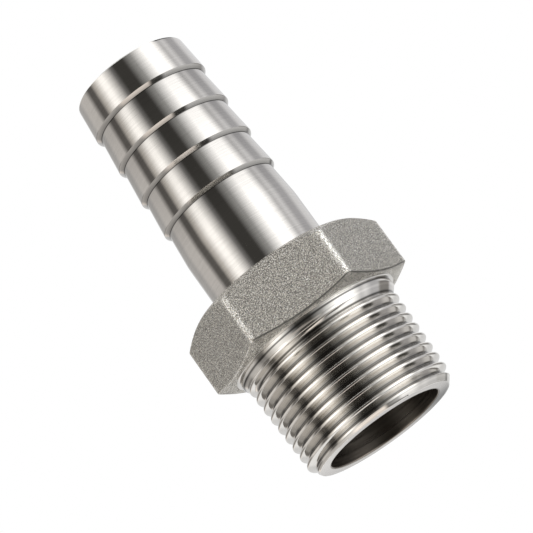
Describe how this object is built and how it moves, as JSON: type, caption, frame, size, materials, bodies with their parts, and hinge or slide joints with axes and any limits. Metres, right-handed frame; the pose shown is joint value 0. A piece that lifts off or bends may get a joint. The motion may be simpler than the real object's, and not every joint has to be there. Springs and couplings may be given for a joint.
{
  "type": "hose barb tail",
  "caption": "Pipe fitting with a male taper pipe thread, a spanner hexagon and a barbed tail for a hose.",
  "frame": {"origin": "centre of the threaded end's face, which the fitting stands on", "axes": "+Z along the fitting's axis, from the threaded end to the hose end; a flat of the hexagon faces -Y"},
  "size_m": [0.035, 0.0304, 0.0687],
  "materials": {
    "stainless_steel": "investment cast stainless steel, turned bright on the tail and thread, cast grain on the hexagon"
  },
  "bodies": {
    "root": {"hose_barb_tail": "stainless_steel"}
  },
  "joints": []
}
